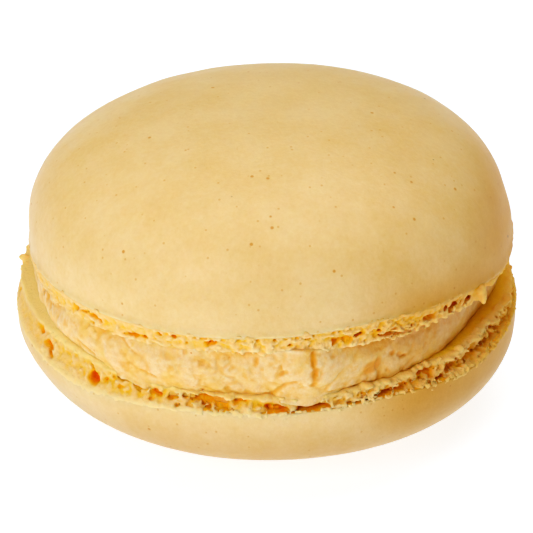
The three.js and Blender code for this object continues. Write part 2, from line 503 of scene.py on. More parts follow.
def upper_base(x, y):
    """The height of the upper shell's base above the lower skin's edge, at a point of the lower shell."""
    base = -UPPER["foot_height"]
    corners = np.array([[0, 0, base], [0, 10, base], [90, 10, base]])
    a, b, c = place_upper(corners) - AXIS - np.array([0, 0, LOWER_EDGE])
    normal = np.cross(b - a, c - a)
    return a[2] - (normal[0] * (x - a[0]) + normal[1] * (y - a[1])) / normal[2]


# The skins

SKIN_AROUND = 640
SKIN_ROWS = 70
LIP_STEPS = 8
SIDE_STEPS = 4

# Above 1, the dome's rows are closer together near its edge.
ROW_CROWDING = 1.15

# Inside the foot the skin's underside runs down as a core, which the foot and the cream hide.
CORE_INSET = 2.4
UNDERSIDE = -0.1


def skin_profile(shell):
    """The skin's outline from the middle of its underside, round the thin edge, to the top of the dome."""
    edge = shell["edge_radius"]
    lip = shell["lip"]
    core = shell["foot_radius"] - CORE_INSET
    base = -shell["foot_height"] + 0.1
    profile = [(core, base), (core, UNDERSIDE), (edge - 1.3, UNDERSIDE), (edge - lip - 0.1, -0.03)]
    for step in range(LIP_STEPS + 1):
        angle = math.radians(-90 + 90 * step / LIP_STEPS)
        profile.append((edge - lip + lip * math.cos(angle), lip + lip * math.sin(angle)))
    for step in range(1, SIDE_STEPS):
        share = step / SIDE_STEPS
        radius = edge + (shell["radius"] - edge) * math.sin(share * math.pi / 2)
        profile.append((radius, lip + (shell["side"] - lip) * share))
    for row in range(SKIN_ROWS):
        profile.append(dome_point(shell, last_angle(shell) * (row / SKIN_ROWS) ** ROW_CROWDING))
    if shell["flat_spot"]:
        profile.append((shell["flat_spot"], dome_height(shell)))
    return np.array(profile)


def lathe_faces(rows, turned_over):
    """Quads between the rows, and triangles to the two points on the axis, which come last."""
    column = np.arange(SKIN_AROUND)
    here, there = column * rows, (column + 1) % SKIN_AROUND * rows
    low = np.full_like(column, SKIN_AROUND * rows)
    parts = [np.stack([here + r, there + r, there + r + 1, here + r + 1], axis=1) for r in range(rows - 1)]
    parts.append(np.stack([there, here, low], axis=1))
    parts.append(np.stack([here + rows - 1, there + rows - 1, low + 1], axis=1))
    return [face[::-1] if turned_over else face for part in parts for face in part]


def skin_mesh(shell, seed):
    profile = skin_profile(shell)
    rows = len(profile)
    azimuth = np.arange(SKIN_AROUND) * 360 / SKIN_AROUND
    a = np.repeat(azimuth[:, None], rows, axis=1)
    r = np.repeat(profile[None, :, 0], SKIN_AROUND, axis=0)
    h = np.repeat(profile[None, :, 1], SKIN_AROUND, axis=0)
    angle = np.radians(a)
    x, y = r * np.sin(angle), -r * np.cos(angle)

    # The skin's edge follows its lobes, and is torn finely. The dome is a little uneven.
    near_edge = np.clip(1 - np.abs(h) / shell["foot_height"], 0, 1)
    edge = shell["torn"] * bell(h - 0.1, 0.35) * (r > shell["edge_radius"] - 0.8)
    torn = 0.16 * noise(x, y, h * 0, 0.9, seed) + 0.1 * noise(x, y, h * 0, 0.4, seed + 1)
    swell = 0.07 * noise(x, y, h, 9.0, seed + 2) + 0.035 * noise(x, y, h, 3.5, seed + 3)
    r = r + lobed(shell["side_lobes"], a) * (r / shell["radius"]) ** 4 + edge * torn * 0.6
    r = r + lobed(shell["belly_lobes"], a) * (r / shell["radius"]) * rise(1, 4, h)
    h = h * (1 - shell["front_sinks"] * bell(between(a, 0), 50) * rise(shell["flat_spot"], 12, r))
    h = h + near_edge * edge_height(shell, a) + edge * torn * 0.7
    if not shell["flat_spot"]:
        h = h + swell * rise(0, 3, h)
    top = dome_height(shell)
    r = r + swell * rise(-0.1, 0.5, h) * (1 - rise(top - 3, top, h))
    points = np.stack([a, r, h], axis=2).reshape(-1, 3)
    ends = np.array([[0, 0, profile[0, 1]], [0, 0, h[:, -1].mean()]])
    return np.concatenate([points, ends]), lathe_faces(rows, shell["turned_over"])


# The feet

# A groove is (azimuth, depth below the skin's edge) at its start, the same at its end, its width, its depth
# and how orange it is painted, as painted shade and glow in the groove.
LOWER_GROOVES = [
    # Slits and the round hole at the left
    (-66.6, 1.5, -64.8, 1.35, 0.5, 0.9, 1.2),
    (-61.2, 0.95, -59.4, 0.6, 0.36, 0.7, 1.2),
    (-59.4, 0.6, -57.9, 0.15, 0.5, 0.9, 1.3),
    (-44.3, 1.6, -43.9, 1.3, 0.25, 0.3, 0.5),
    # Pits below the cream's edge
    (-39.8, 0.85, -37.5, 1.3, 0.36, 0.5, 0.6),
    (-37.0, 1.45, -33.5, 1.6, 0.42, 0.6, 0.6),
    (-35.6, 0.75, -35.0, 0.9, 0.3, 0.4, 0.4),
    (-31.0, 1.35, -27.5, 1.5, 0.55, 0.6, 0.6),
    (-26.5, 1.15, -24.6, 1.25, 0.45, 0.8, 0.8),
    (-22.5, 1.2, -18.5, 1.5, 0.45, 0.7, 0.6),
    (-27.5, 0.5, -26.6, 0.7, 0.3, 0.4, 0.3),
    (-21.0, 0.5, -20.2, 0.65, 0.3, 0.4, 0.4),
    # The hollow at the front, where the cream has come away
    (-17.5, 1.3, -14.0, 1.5, 0.7, 0.7, 0.5),
    (-14.5, 1.45, -10.0, 1.3, 0.9, 1.1, 0.8),
    (-10.5, 1.2, -5.0, 1.7, 0.7, 0.7, 0.6),
    (-15.2, 0.75, -13.4, 0.7, 0.5, 0.7, 0.8),
    (-12.0, 0.7, -8.0, 0.8, 0.3, 0.4, 0.4),
    # Slots above the skin's edge
    (0.0, 0.8, 3.0, 0.75, 0.9, 0.9, 1.0),
    (3.0, 0.75, 7.0, 0.75, 0.32, 0.6, 0.9),
    (7.0, 0.85, 14.5, 0.65, 0.8, 1.0, 1.0),
    (17.0, 0.8, 23.0, 0.8, 0.5, 0.5, 0.7),
    (24.5, 1.0, 27.0, 1.0, 0.55, 0.9, 1.0),
    (27.0, 0.85, 30.5, 1.0, 0.65, 1.0, 1.0),
    # The open froth at the right
    (33.0, 1.2, 35.0, 1.3, 0.5, 0.5, 0.5),
    (36.5, 1.65, 40.0, 1.5, 0.8, 0.6, 0.5),
    (41.2, 0.55, 43.0, 0.6, 0.36, 0.9, 0.9),
    (44.5, 1.15, 48.0, 1.1, 0.6, 0.5, 0.4),
    (49.0, 0.15, 49.8, 0.25, 0.3, 0.5, 0.6),
    (49.2, 1.1, 52.0, 1.0, 0.5, 0.5, 0.4),
    (53.2, 1.2, 55.5, 1.2, 0.8, 0.9, 0.8),
    (57.0, 1.0, 62.0, 1.0, 0.5, 0.5, 0.4),
    (63.4, 0.95, 70.0, 1.0, 0.5, 0.5, 0.35),
    (71.2, 1.0, 80.0, 0.9, 0.5, 0.4, 0.3),
]

# Round holes, as (azimuth, depth below the skin's edge, width, depth, how orange the painted shade and glow
# in it is).
LOWER_HOLES = [(-42.9, 0.58, 1.15, 0.9, 1.8)]

UPPER_GROOVES = [
    (-52.0, 0.9, -47.5, 0.8, 0.6, 0.5, 0.5),
    (-47.0, 0.8, -41.5, 0.75, 0.42, 0.45, 0.5),
    (-46.6, 1.6, -46.0, 1.5, 0.3, 0.4, 0.5),
    (-37.3, 1.5, -33.5, 1.3, 0.3, 0.4, 0.7),
    (-33.5, 1.3, -29.9, 1.28, 0.45, 0.45, 0.8),
    (-26.3, 0.55, -25.9, 0.55, 0.3, 0.4, 0.6),
    (-23.2, 0.53, -22.4, 0.53, 0.3, 0.5, 0.8),
    (-19.6, 0.9, -19.4, 0.9, 0.35, 0.4, 0.6),
    (-14.2, 0.85, -12.8, 0.65, 0.5, 0.6, 0.8),
    (3.8, 0.83, 4.6, 0.83, 0.3, 0.4, 0.7),
    (6.6, 0.45, 8.6, 0.3, 0.35, 0.6, 0.7),
    (14.5, 1.0, 18.5, 0.9, 0.7, 0.5, 0.7),
    (20.2, 0.68, 21.4, 0.62, 0.42, 1.0, 1.0),
    (25.2, 1.0, 26.0, 0.75, 0.5, 1.0, 1.0),
    (26.0, 1.2, 31.0, 1.5, 0.32, 0.9, 0.9),
    (29.0, 0.9, 30.4, 0.85, 0.35, 0.4, 0.4),
    (31.0, 1.5, 36.0, 1.75, 0.3, 0.9, 0.7),
    (34.1, 1.1, 34.4, 1.1, 0.38, 0.6, 0.8),
    (37.0, 0.95, 41.0, 0.85, 0.45, 0.5, 0.6),
    (41.2, 1.9, 41.6, 1.9, 0.35, 0.6, 0.7),
    (44.8, 0.75, 48.5, 0.6, 0.65, 1.2, 1.0),
    (52.6, 0.8, 54.6, 0.7, 0.5, 0.9, 0.9),
    (62.0, 1.8, 78.0, 1.8, 0.9, 0.6, 0.2),
]

# The azimuths between which the back isn't seen from the front.
UNSEEN = (84, 274)

# The froth's lumps, as (size, height), and how high they are on average.
LUMPS = ((1.5, 0.4), (0.8, 0.4), (0.4, 0.45))
LUMPS_MIDDLE = 0.33

# How deep open froth is hollowed, and how deep the seam below the skin is.
RECESS_DEPTH = 1.2
SEAM_DEPTH = 0.45

# The foot runs on this far under the cream.
CREAM_COVERS = 1.0

WALL_CRUMBS = 1400
RIM_FLAKES = 300
EDGE_CRUMBS = 1000


def grid_step(fine):
    return fine


def openness(shell, azimuth):
    """How open and flaky the froth is, from 0 to 1."""
    return np.clip(lobed(shell["open_lobes"], azimuth), 0, 1)


def goldenness(shell, azimuth):
    """How strongly the froth and its creases are tinted golden, from 0 to 1. In the creases this is painted
    shade.
    """
    return np.clip(lobed(shell["golden_lobes"], azimuth), 0, 1)


def edge_height(shell, azimuth):
    """The height of the skin's edge, which rises and sinks along the ring."""
    return -lobed(shell["edge_lobes"], azimuth)


def foot_wall(shell, azimuth, below):
    """The foot's radius at a depth below the skin's edge. It flares out towards the skin."""
    share = np.clip(below / shell["foot_height"], 0, 1)
    rim = lobed(shell["rim_lobes"], azimuth) * share
    flare = shell["flare"] + lobed(shell["side_lobes"], azimuth)
    return shell["foot_radius"] + rim + flare * (1 - share) ** 1.5


def lumps(ring, seed):
    """Rounded lumps of three sizes, with creases between them."""
    total = -LUMPS_MIDDLE
    for size, height in LUMPS:
        seed += 1
        total = total + height * np.abs(ring.noise(size, seed))
    return total


def beneath_cream(shell, azimuth):
    """A radius in the shell that the cream covers."""
    share = 0 if shell["turned_over"] else 1
    shift = 0 if shell["turned_over"] else upper_axis_ahead(azimuth)
    return cream_reach(azimuth, share) - shift - CREAM_COVERS


def foot_base(shell, azimuth):
    """How far down from the skin's edge the foot's flat base is."""
    return shell["foot_height"] - lobed(shell["base_lobes"], azimuth)


def froth_ring(shell, seed):
    """A ring of lumpy froth between the skin and the cream. Its creases are tinted as painted shade."""
    radius, tall = shell["foot_radius"], shell["foot_height"]
    ring = Ring((radius - 3.2, radius + 1.4), (-tall - 1.1, 1.4), grid_step(FOOT_STEP))
    azimuth = ring.azimuth
    under_skin = edge_height(shell, azimuth) - ring.height
    away = rise(0.0, 0.7, under_skin)
    rough = lumps(ring, seed)

    # Open froth is hollow between its webs, and torn at its rim.
    webs = rise(0.04, 0.25, np.abs(ring.noise(0.9, seed + 6)))
    recess = RECESS_DEPTH * openness(shell, azimuth) * bell(-ring.height - 1.0, 0.7) * webs
    torn_rim = 0.4 * ring.noise(1.0, seed + 8) + 0.35 * ring.noise(0.45, seed + 9)
    rim = openness(shell, azimuth) * bell(ring.height + tall, 0.4) * torn_rim

    # The wall tucks in under the skin, with a ragged fringe, and has a seam below it in places.
    seam = lobed(shell["seam_lobes"], azimuth) * bell(under_skin - 0.1, 0.14)
    fringe = 0.35 * np.abs(ring.noise(0.6, seed + 7))
    tucked = 0.12 - 0.8 * rise(-0.2, -0.4, under_skin + fringe)
    lively = 1 + lobed(shell["lively_lobes"], azimuth)
    relief = lively * (0.3 + 0.3 * away) * rough - recess + rim - SEAM_DEPTH * seam + tucked
    wall = foot_wall(shell, azimuth, under_skin) + relief - ring.radius

    uneven = 0.12 * ring.noise(1.6, seed + 4) + 0.06 * ring.noise(0.5, seed + 5)
    unevenness = shell["uneven"] + openness(shell, azimuth + 8)
    base = ring.height + foot_base(shell, azimuth) + unevenness * uneven
    base = base + fillet(shell, azimuth, ring.radius)
    under = under_skin + 0.8
    inner_edge = np.minimum(beneath_cream(shell, azimuth), radius - 2.0)
    slope = (radius + 0.1 - inner_edge) / (tall - 0.6)
    inner = ring.radius - inner_edge - slope * np.maximum(ring.height + 0.9, 0)
    ring.field = soft_min(soft_min(wall, base, 0.3), np.minimum(under, inner), 0.1).astype(np.float32)

    # Painted shade: creases between lumps, recesses and the seam are tinted yellow. The golden lobes also
    # tint the froth a little all over, as its own colour.
    crease = 1 - rise(-0.25, 0.05, rough)
    creased = goldenness(shell, azimuth) * (0.2 + 0.65 * crease) * (0.4 + 0.6 * away)
    ring.tint = np.maximum(np.maximum(0.1 * recess, 0.25 * seam), creased).astype(np.float32)
    return ring


def cut_grooves(ring, shell, grooves, holes, seed):
    for index, (from_turn, from_below, to_turn, to_below, *cut) in enumerate(grooves):
        wall = foot_wall(shell, from_turn, from_below)
        ring.groove(wall, (from_turn, -from_below), (to_turn, -to_below), *cut, seed + 100 + index)
    for turn, below, *cut in holes:
        wall = foot_wall(shell, turn, below)
        start, end = (turn - 0.2, -below), (turn + 0.2, -below)
        ring.groove(wall, start, end, *cut, seed, ragged_share=0.15, steepness=6)


def foot_ring(shell, grooves, holes, seed):
    """The foot is a ring of froth with crumbs on its wall, and grooves and holes pressed into it."""
    ring = froth_ring(shell, seed)
    for turn, below, size in shell["tabs"]:
        up = float(edge_height(shell, turn)) - below
        ring.blob(turn, shell["edge_radius"] - 0.1, up, size, blend=0.2)
    rng = np.random.default_rng(seed)
    add_crumbs(ring, shell, rng)
    cut_grooves(ring, shell, grooves, holes, seed)
    add_unseen_grooves(ring, shell, rng, seed + 200)
    add_edge_crumbs(ring, shell, rng)
    return ring


def fillet(shell, azimuth, radius):
    """Where the cream meets the foot in a slope, the foot stands higher beside it."""
    beside = beneath_cream(shell, azimuth) + CREAM_COVERS
    return 0.8 * lobed(shell["fillet_lobes"], azimuth) * (1 - rise(beside - 0.2, beside + 1.3, radius))


def add_unseen_grooves(ring, shell, rng, seed):
    """Grooves like those of the front go on round the back."""
    azimuth = UNSEEN[0]
    while azimuth < UNSEEN[1]:
        length = rng.uniform(0.5, 7)
        below = rng.uniform(0.6, 1.5)
        end = (azimuth + length, -below + rng.uniform(-0.2, 0.2))
        width, depth, tint = rng.uniform(0.35, 0.9), rng.uniform(0.5, 1.4), rng.uniform(0.5, 1.0)
        ring.groove(foot_wall(shell, azimuth, below), (azimuth, -below), end, width, depth, tint, seed)
        azimuth += length + rng.uniform(1, 6)
        seed += 1


def add_edge_crumbs(ring, shell, rng):
    """Crumbs hang on along the skin's edge, also in front of the grooves."""
    for _ in range(EDGE_CRUMBS):
        at, below = rng.uniform(0, 360), rng.uniform(-0.2, 0.16)
        size = rng.uniform(0.08, 0.2)
        out = foot_wall(shell, at, 0) - rng.uniform(0.0, 0.2)
        up = edge_height(shell, at) - below
        ring.blob(at, out, up, size, blend=0.06, squash=(rng.uniform(1, 2), 1, 1), pale=True)


def add_crumbs(ring, shell, rng):
    """Crumbs on the wall, and thin flakes at the rim where the froth is open."""
    tall = shell["foot_height"]
    for _ in range(WALL_CRUMBS):
        at, below = rng.uniform(0, 360), rng.uniform(0.1, tall)
        if rng.random() > 0.6 + lobed(shell["lively_lobes"], at):
            continue
        size = rng.uniform(0.12, 0.28)
        out = foot_wall(shell, at, below) - rng.uniform(0.0, 0.3)
        ring.blob(at, out, -below, size, blend=0.1, squash=(1, 1, rng.uniform(1, 1.6)))
    for _ in range(RIM_FLAKES):
        at = rng.uniform(0, 360)
        if rng.random() > float(openness(shell, at)):
            continue
        size = rng.uniform(0.15, 0.55)
        below = tall - rng.uniform(-0.12, 0.3)
        out = foot_wall(shell, at, below) + rng.uniform(-0.4, 0.1)
        squash = (rng.uniform(0.6, 1.8), 1, rng.uniform(1.5, 3.5))
        ring.blob(at, out, -below, size, blend=0.06, squash=squash)


# The cream

# Its grid, and the radius of the ring's inner wall, which is out of sight.
CREAM_RADII = (19.0, 24.0)
CREAM_HEIGHTS = (0.6, 7.6)
CREAM_INNER = 19.3

CREAM_LOBES = [
    (-70, 18, -0.35), (-52, 16, 0.5), (-27, 19, 1.0), (8, 9, 1.3), (27, 12, 0.4), (66, 19, -1.2),
    (128, 24, 0.5), (187, 22, -0.4), (236, 20, 0.6),
]

# How far its lower edge hangs over the foot.
DROOP_LOBES = [(-24, 15, 0.95), (9, 8, 1.0), (140, 25, 0.6), (220, 20, 0.8)]

# At the front its outer layer has come away: the azimuths and the height between which a lower layer shows,
# and that layer's radius.
BARE = {"from": -12.6, "to": 1.0, "top": 2.2, "bottom": 1.0, "radius": 21.9}

# Where it stands out as far at the top as the upper foot.
TOP_LOBES = [(-62, 24, 1.1), (-10, 22, 1.4), (14, 10, 0.9)]

# Grooves as in the feet, with heights above the lower skin's edge.
CREAM_GROOVES = [
    # The crack
    (9.4, 6.6, 9.6, 5.6, 0.4, 0.12, 1.0),
    (9.5, 5.6, 10.0, 4.6, 0.5, 0.16, 1.0),
    (9.7, 4.6, 9.5, 3.4, 0.4, 0.12, 0.8),
    # Creases between torn lumps
    (-2.9, 5.35, -2.7, 5.9, 0.4, 0.15, 0.5),
    (2.4, 4.5, 3.6, 4.9, 0.3, 0.15, 0.35),
    (0.8, 2.3, 3.4, 3.4, 0.35, 0.2, 0.4),
    (3.4, 3.5, 6.0, 3.9, 0.3, 0.15, 0.25),
    (-30.0, 3.2, -26.0, 2.9, 0.3, 0.15, 0.15),
    (-49.0, 3.1, -44.0, 2.6, 0.3, 0.2, 0.2),
    # Dimples and pits
    (-15.0, 4.9, -14.8, 5.15, 0.4, 0.1, 0.2),
    (29.3, 4.5, 30.0, 4.4, 0.5, 0.25, 0.7),
    (32.4, 3.8, 33.4, 3.7, 0.4, 0.2, 0.6),
    (31.4, 4.1, 31.8, 4.1, 0.35, 0.15, 0.5),
    (22.8, 3.6, 25.2, 3.9, 1.2, 0.15, 0.7),
]


def cream_reach(azimuth, share):
    """The cream's radius. share is 0 at the lower foot and 1 at the upper."""
    bulge = 0.5 * np.sin(math.pi * share) + 0.9 * (0.5 - share)
    return CREAM_RADIUS + lobed(CREAM_LOBES, azimuth) + bulge + share * lobed(TOP_LOBES, azimuth)


def cream_ring(seed):
    """The cream is a ring of torn lumps between the feet, with dents and a crack pressed into it."""
    ring = Ring(CREAM_RADII, CREAM_HEIGHTS, grid_step(CREAM_STEP))
    azimuth = between(ring.azimuth, 0)
    foot = LOWER["foot_height"]
    top = upper_base(ring.x, ring.y) + lobed(UPPER["base_lobes"], azimuth)
    share = np.clip((ring.height - foot) / (top - foot), 0, 1)
    calm = 1 - 0.6 * bell(between(azimuth, 62), 26)
    swell = 0.22 * ring.noise(4.2, seed + 1, flatten=1.7) + 0.3 * (np.abs(ring.noise(2.4, seed + 2)) - 0.3)
    grain = 0.12 * (np.abs(ring.noise(1.0, seed + 3)) - 0.3) + 0.04 * ring.noise(0.45, seed + 4)
    creases = bell(ring.noise(1.9, seed + 9), 0.08) * rise(-0.1, 0.35, ring.noise(3.0, seed + 10))
    pits = rise(0.35, 0.6, ring.noise(0.8, seed + 11)) * rise(0.0, 0.3, ring.noise(3.4, seed + 12))
    reach = cream_reach(azimuth, share) + calm * (swell + grain - 0.12 * creases - 0.12 * pits)
    # Painted shade: creases and pits are tinted orange.
    ring.tint = (calm * np.maximum(0.25 * creases, 0.22 * pits)).astype(np.float32)
    bare = rise(BARE["from"] - 1.0, BARE["from"], azimuth)
    bare = bare * (1 - rise(BARE["to"] - 1.0, BARE["to"], azimuth))
    edge = BARE["top"] + 0.4 * ring.noise(1.3, seed + 7)
    reach = reach + bare * (1 - rise(edge - 0.15, edge + 0.15, ring.height)) * (BARE["radius"] - reach)
    over = rise(21.7, 22.4, ring.radius + 0.4 * ring.noise(1.5, seed + 8))
    low = foot - 0.12 - np.maximum(lobed(DROOP_LOBES, azimuth) * over, bare * (foot - BARE["bottom"]))
    bottom = ring.height - low + 0.2 * ring.noise(1.2, seed + 5) + 0.14 * ring.noise(0.5, seed + 6)
    ceiling = top + 0.4 - ring.height
    inner = ring.radius - CREAM_INNER
    field = soft_min(soft_min(reach - ring.radius, bottom, 0.4), ceiling, 0.3)
    ring.field = np.minimum(field, inner).astype(np.float32)

    for index, (from_turn, from_up, to_turn, to_up, *cut) in enumerate(CREAM_GROOVES):
        share = (from_up - foot) / (EDGE_SPACING - UPPER["foot_height"] - foot)
        wall = float(cream_reach(from_turn, min(share, 1)))
        ring.dent(wall, (from_turn, from_up), (to_turn, to_up), *cut, seed + 100 + index)
    return ring


# Materials

def node_tree(name):
    material = bpy.data.materials.new(name)
    material.use_nodes = True
    tree = material.node_tree
    return material, tree, tree.nodes["Principled BSDF"]


def put(tree, value, socket):
    """Links a socket to an input, or sets a value on it."""
    if isinstance(value, bpy.types.NodeSocket):
        tree.links.new(value, socket)
    else:
        socket.default_value = value


def add(tree, kind, **values):
    """Adds a node. Values with a name of an input are put on it, and others on the node."""
    node = tree.nodes.new(kind)
    for key, value in values.items():
        if key in node.inputs:
            put(tree, value, node.inputs[key])
        else:
            setattr(node, key, value)
    return node


def calculate(tree, operation, *values):
    node = add(tree, "ShaderNodeMath", operation=operation)
    for value, socket in zip(values, node.inputs):
        put(tree, value, socket)
    return node.outputs[0]


def colour(red, green, blue):
    """An sRGB colour from 0 to 255 as linear values."""
    values = []
    for part in (red, green, blue):
        c = part / 255
        values.append(c / 12.92 if c <= 0.04045 else ((c + 0.055) / 1.055) ** 2.4)
    return (*values, 1.0)


def ramp(tree, stops, source):
    """Stops are (place, colour), or (place, grey) with a linear grey."""
    node = add(tree, "ShaderNodeValToRGB", Fac=source)
    elements = node.color_ramp.elements
    while len(elements) < len(stops):
        elements.new(0.5)
    for element, (place, value) in zip(elements, stops):
        element.position = place
        element.color = colour(*value) if isinstance(value, tuple) else (value, value, value, 1)
    return node.outputs["Color"]


def mix(tree, factor, first, second, mode="MIX"):
    """Mixes a colour's socket with another socket, or with an sRGB colour."""
    node = add(tree, "ShaderNodeMix", data_type="RGBA", blend_type=mode)
    second = colour(*second) if isinstance(second, tuple) else second
    for place, value in ((0, factor), (6, first), (7, second)):
        put(tree, value, node.inputs[place])
    return node.outputs[2]


def object_places(tree):
    """Object coordinates in millimetres."""
    places = add(tree, "ShaderNodeTexCoord").outputs["Object"]
    return add(tree, "ShaderNodeVectorMath", operation="SCALE", Vector=places, Scale=1 / MM).outputs[0]


def noise_node(tree, places, size, detail=2.0, rough=0.5):
    values = {"Vector": places, "Scale": 1 / size, "Detail": detail, "Roughness": rough}
    return add(tree, "ShaderNodeTexNoise", **values).outputs["Fac"]


def speckled(tree, places, base, kinds):
    """Puts dots on a colour. A kind is (spacing, size, chance of a dot, strength, colour)."""
    for spacing, size, chance, strength, tone in kinds:
        cells = add(tree, "ShaderNodeTexVoronoi", Vector=places, Scale=1 / spacing).outputs
        reach = {"From Min": size / spacing, "From Max": 0.5 * size / spacing, "Value": cells["Distance"]}
        near = add(tree, "ShaderNodeMapRange", interpolation_type="SMOOTHSTEP", **reach).outputs["Result"]
        draw = add(tree, "ShaderNodeSeparateColor", Color=cells["Color"]).outputs["Red"]
        dots = calculate(tree, "MULTIPLY", near, calculate(tree, "LESS_THAN", draw, chance))
        base = mix(tree, calculate(tree, "MULTIPLY", dots, strength), base, tone)
    return base


def attribute(tree, name):
    return add(tree, "ShaderNodeAttribute", attribute_name=name).outputs["Fac"]


def add_painted_shade(tree, base, tone):
    """Darkens and warms a colour by the painted shade attribute."""
    return mix(tree, attribute(tree, "painted_shade"), base, tone, "MULTIPLY")


def finish_food(tree, shader, base, gloss, softness, bumps):
    """Sets the shader's values. softness is how far light spreads below the surface.

    gloss is (roughness, specular level), and bumps are (height, strength, depth)."""
    height, strength, depth = bumps
    bump = add(tree, "ShaderNodeBump", Strength=strength, Distance=depth * MM, Height=height)
    values = {
        "Base Color": base,
        "Roughness": gloss[0],
        "Specular IOR Level": gloss[1],
        "Subsurface Weight": 0.6,
        "Subsurface Radius": (1.0, 0.8, 0.45),
        "Subsurface Scale": softness * MM,
        "Normal": bump.outputs["Normal"],
    }
    for key, value in values.items():
        put(tree, value, shader.inputs[key])


def skin_material():
    material, tree, shader = node_tree("baked skin")
    places = object_places(tree)
    mottling = noise_node(tree, places, 5.0, 5.0, 0.65)
    base = ramp(tree, [(0.35, (240, 206, 140)), (0.65, (247, 218, 164))], mottling)
    fine = noise_node(tree, places, 0.5, 3.0, 0.7)
    base = mix(tree, 0.16, base, ramp(tree, [(0.3, (226, 182, 96)), (0.7, (252, 228, 176))], fine))
    faint = (0.9, 0.14, 0.45, 0.6, (226, 172, 84))
    plain = (1.8, 0.2, 0.3, 1, (224, 166, 80))
    brown = (3.6, 0.17, 0.3, 1, (140, 92, 45))
    base = speckled(tree, places, base, (faint, plain, brown))
    # Painted shade: the skin is darkened and warmed on its right side, at the far left and on the underside.
    base = add_painted_shade(tree, base, (231, 194, 84))
    # Painted shade: a faint grey darkening of the underside near the floor.
    base = mix(tree, attribute(tree, "under"), base, (235, 234, 238), "MULTIPLY")
    # Where the skin shows inside the foot's slots it is painted froth orange: partly the froth's own yellow,
    # partly painted shade and glow.
    froth = ramp(tree, [(0.35, (250, 156, 12)), (0.65, (255, 206, 66))], fine)
    base = mix(tree, attribute(tree, "inside"), base, froth)
    finish_food(tree, shader, base, gloss=(0.42, 0.35), softness=0.5, bumps=(fine, 0.5, 0.06))
    return material


def froth_material():
    """Froth is pale where it was dried by the oven, and yellow in its creases and orange deep in its holes:
    partly its own deeper yellow inside, partly painted shade and glow.
    """
    material, tree, shader = node_tree("meringue froth")
    places = object_places(tree)
    # Colours by how deep in a crease a point is: painted shade and glow over the froth's own yellow.
    depths = [
        (0.28, (253, 223, 164)),
        (0.46, (248, 206, 138)),
        (0.56, (248, 202, 112)),
        (0.66, (250, 196, 68)),
        (0.82, (253, 188, 42)),
        (1.0, (252, 170, 20)),
        (1.28, (236, 126, 4)),
    ]
    # The ledge's own yellow, deepening inwards as painted shade.
    ledge = [
        (0.0, (255, 221, 146)),
        (0.15, (254, 218, 142)),
        (0.4, (254, 220, 92)),
        (0.6, (253, 218, 62)),
        (1.0, (252, 210, 26)),
    ]
    # A ramp ends at 1, so the depths are scaled to fit in it.
    fit = 0.7
    grain = 0.24
    fine = noise_node(tree, places, 0.35, 3.0, 0.6)
    depth = calculate(tree, "MULTIPLY_ADD", fine, grain, attribute(tree, "depth"))
    stops = [(fit * (place + grain / 2), value) for place, value in depths]
    base = ramp(tree, stops, calculate(tree, "MULTIPLY", depth, fit))
    base = mix(tree, attribute(tree, "ledge"), base, ramp(tree, ledge, attribute(tree, "inward")))
    base = mix(tree, attribute(tree, "crust"), base, (250, 218, 152))
    # Painted shade on the froth, as on the skin.
    base = add_painted_shade(tree, base, (235, 204, 84))
    finish_food(tree, shader, base, gloss=(0.6, 0.15), softness=0.15, bumps=(fine, 0.8, 0.12))
    return material


def cream_material():
    material, tree, shader = node_tree("lemon cream")
    places = object_places(tree)
    # Colours by how deep in a crease a point is, also where it meets the feet: painted shade.
    depths = [
        (0.30, (252, 228, 182)),
        (0.48, (246, 209, 147)),
        (0.56, (245, 201, 118)),
        (0.65, (244, 192, 84)),
        (0.80, (242, 172, 34)),
    ]
    base = ramp(tree, depths, attribute(tree, "depth"))
    mottling = ramp(
        tree, [(0.35, (226, 172, 84)), (0.62, (255, 236, 196))], noise_node(tree, places, 0.6, 4.0, 0.7)
    )
    base = mix(tree, 0.25, base, mottling)
    patches = ramp(tree, [(0.44, 0), (0.66, 0.6)], noise_node(tree, places, 2.2, 3.0, 0.6))
    base = mix(tree, patches, base, (246, 198, 84))
    blots = ramp(tree, [(0.58, 0), (0.7, 0.6)], noise_node(tree, places, 0.8))
    base = mix(tree, blots, base, (243, 186, 76))
    orange = (1.1, 0.12, 0.3, 1, (226, 158, 60))
    brown = (3.0, 0.14, 0.2, 1, (150, 85, 30))
    base = speckled(tree, places, base, (orange, brown))
    # Painted shade in the dents, creases, pits and crack.
    base = mix(tree, attribute(tree, "painted_crease_shade"), base, (238, 160, 0))
    # Painted shade on the cream, as on the skin.
    base = add_painted_shade(tree, base, (235, 202, 84))
    fine = noise_node(tree, places, 0.4, 3.0, 0.6)
    finish_food(tree, shader, base, gloss=(0.42, 0.45), softness=0.35, bumps=(fine, 0.7, 0.08))
    return material


# The pieces

def upper_axis_ahead(azimuth):
    """How far the upper shell's axis lies towards an azimuth from the lower's."""
    angle = np.radians(azimuth)
    return UPPER_SHIFT[0] * np.sin(angle) - UPPER_SHIFT[1] * np.cos(angle)


def beside_lower_foot(ring):
    return (ring.height < -LOWER["foot_height"]) & (ring.radius < cream_reach(ring.azimuth, 0))


def beside_upper_foot(ring):
    reach = cream_reach(ring.azimuth, 1) - upper_axis_ahead(ring.azimuth)
    cream = (ring.height < -UPPER["foot_height"]) & (ring.radius < reach)
    skin = (ring.height > edge_height(UPPER, ring.azimuth)) & (ring.radius < UPPER["edge_radius"])
    return cream | skin


def beside_cream(ring):
    wall = foot_wall(LOWER, ring.azimuth, ring.height)
    lower = (ring.height < LOWER["foot_height"]) & (ring.radius < wall)
    reach = UPPER["foot_radius"] + upper_axis_ahead(ring.azimuth)
    return lower | ((ring.z > upper_base(ring.x, ring.y)) & (ring.radius < reach))


